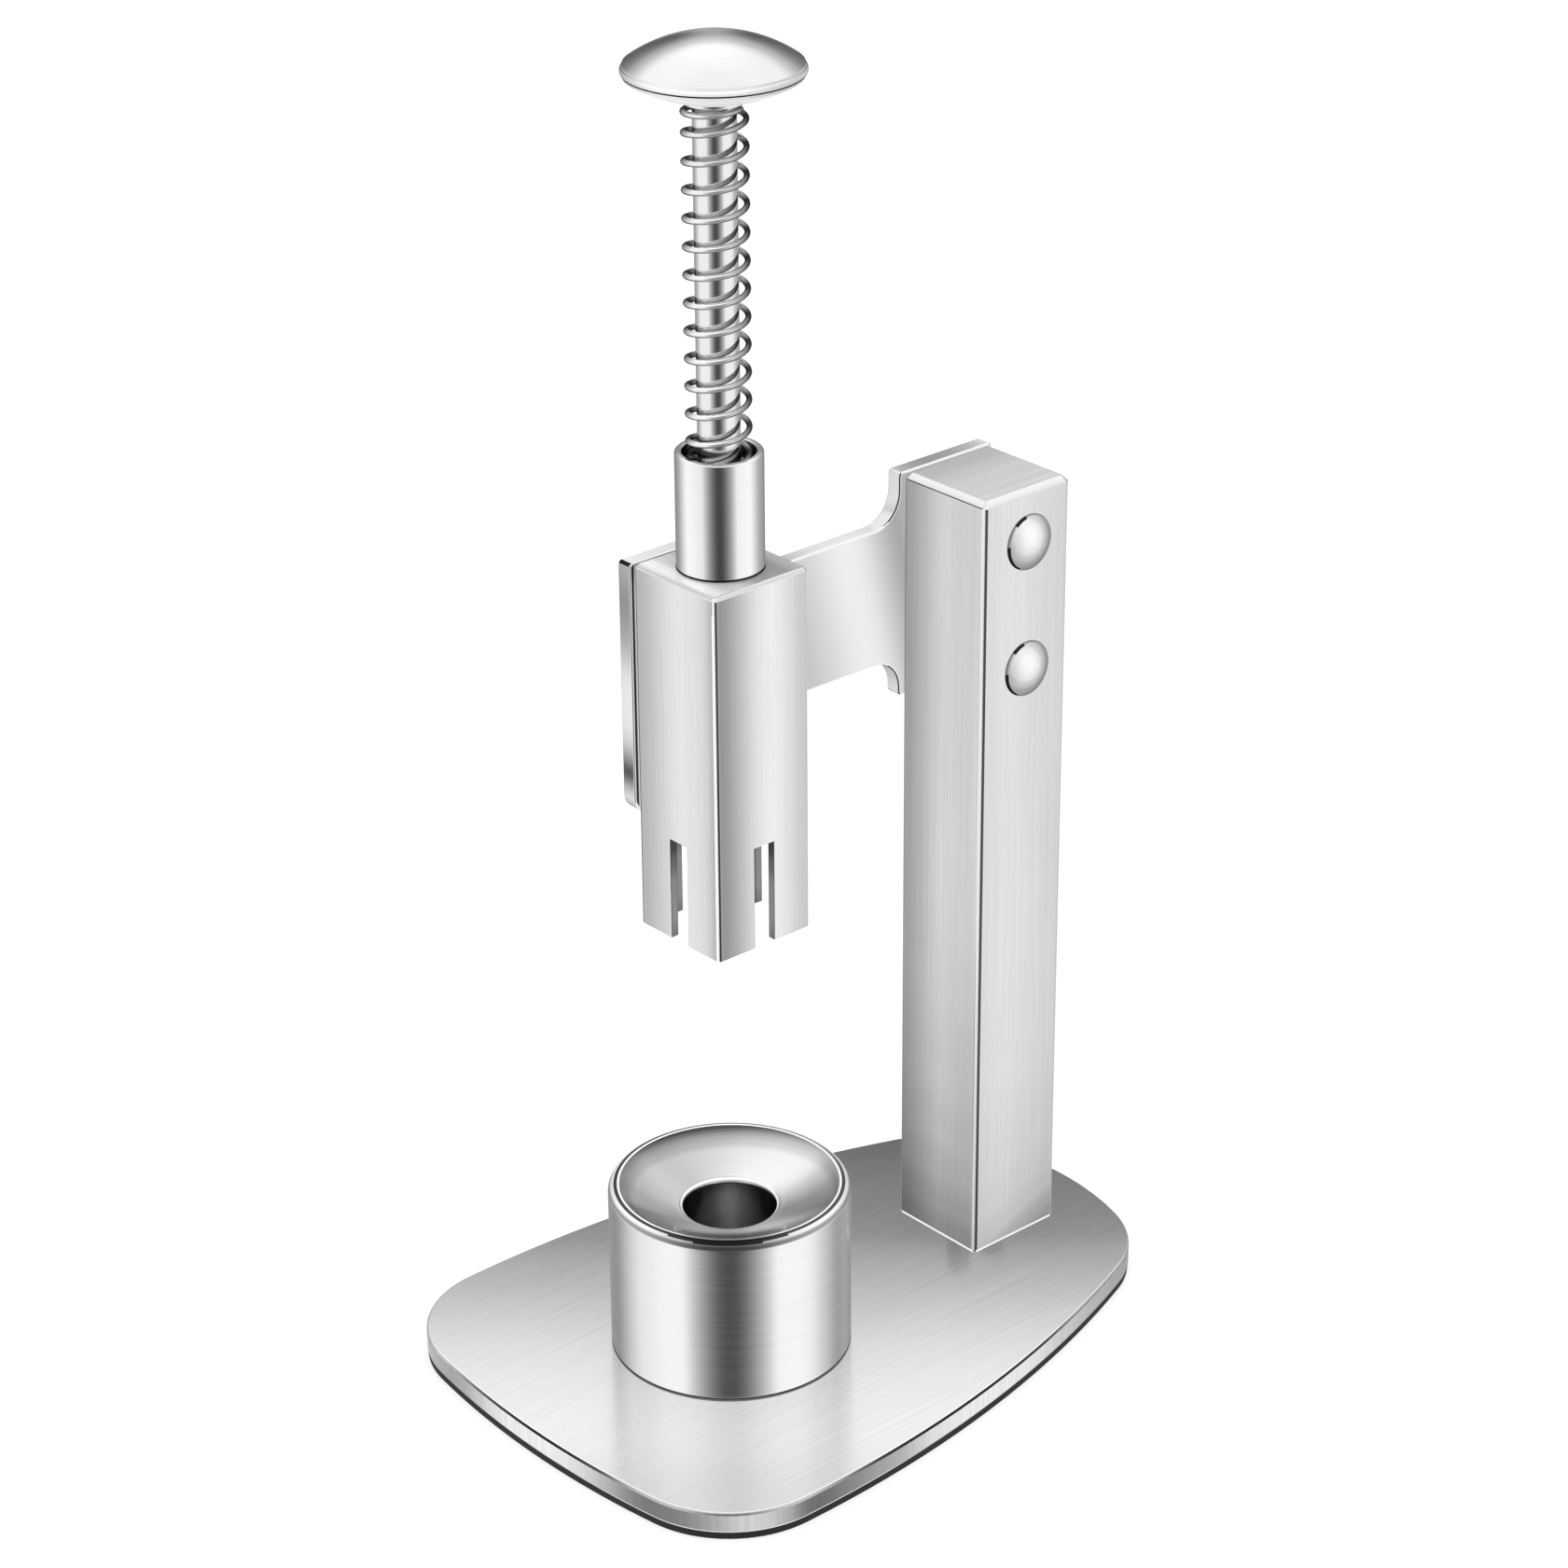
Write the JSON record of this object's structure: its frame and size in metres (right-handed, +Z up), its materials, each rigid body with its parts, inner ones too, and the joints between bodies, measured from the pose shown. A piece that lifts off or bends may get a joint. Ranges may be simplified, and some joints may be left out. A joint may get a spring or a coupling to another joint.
{
  "type": "cherry pitter",
  "caption": "Hand-press cherry pitter: a domed plunger with a return spring slides in a slotted head on a column and pushes the pit of a cherry on the cup down into it.",
  "frame": {"origin": "on the ground under the middle of the base plate's outline", "axes": "+Z up along the plunger and the column; -Y is the front, where the cup is; +Y is the column's side; the arm plate is on the -X side and the domed bolt heads on the +X side"},
  "size_m": [0.0916, 0.126, 0.2389],
  "materials": {
    "brushed": "brushed stainless, straight grain",
    "polished": "polished stainless",
    "spring": "bright drawn stainless wire",
    "plastic": "turned white acetal",
    "rubber": "black non-slip rubber"
  },
  "bodies": {
    "stand": {"base_plate": "brushed", "base_pad": "rubber", "column_tube": "brushed", "column_cap": "brushed", "column_foot_block": "brushed", "column_foot_screws": "polished", "arm_plate": "brushed", "column_bolts": "polished", "column_barrel_nuts": "polished", "column_spacers": "brushed", "head_tube": "brushed", "head_cap": "brushed", "guide_block": "brushed", "head_screws": "polished", "spring_sleeve": "polished", "upper_guide": "plastic", "lower_guide": "plastic", "return_spring": "spring", "cup_locator": "brushed", "cup_locator_screw": "polished"},
    "plunger": {"push_rod": "polished", "push_cap": "polished", "spring_washer": "polished", "stop_ring": "brushed", "stop_buffer": "rubber", "pitter_tip": "polished"},
    "cup": {"cherry_cup": "brushed"}
  },
  "joints": [
    {"name": "push_slide", "type": "slide", "parent": "stand", "child": "plunger", "axis": [0, 0, -1], "range_m": [0, 0.057], "stiffness_N_per_m": 700, "springref_m": -0.004, "deforming": ["return_spring"]},
    {"name": "cup_lift", "type": "slide", "parent": "stand", "child": "cup", "axis": [0, 0, 1], "range_m": [0, 0.04]}
  ]
}
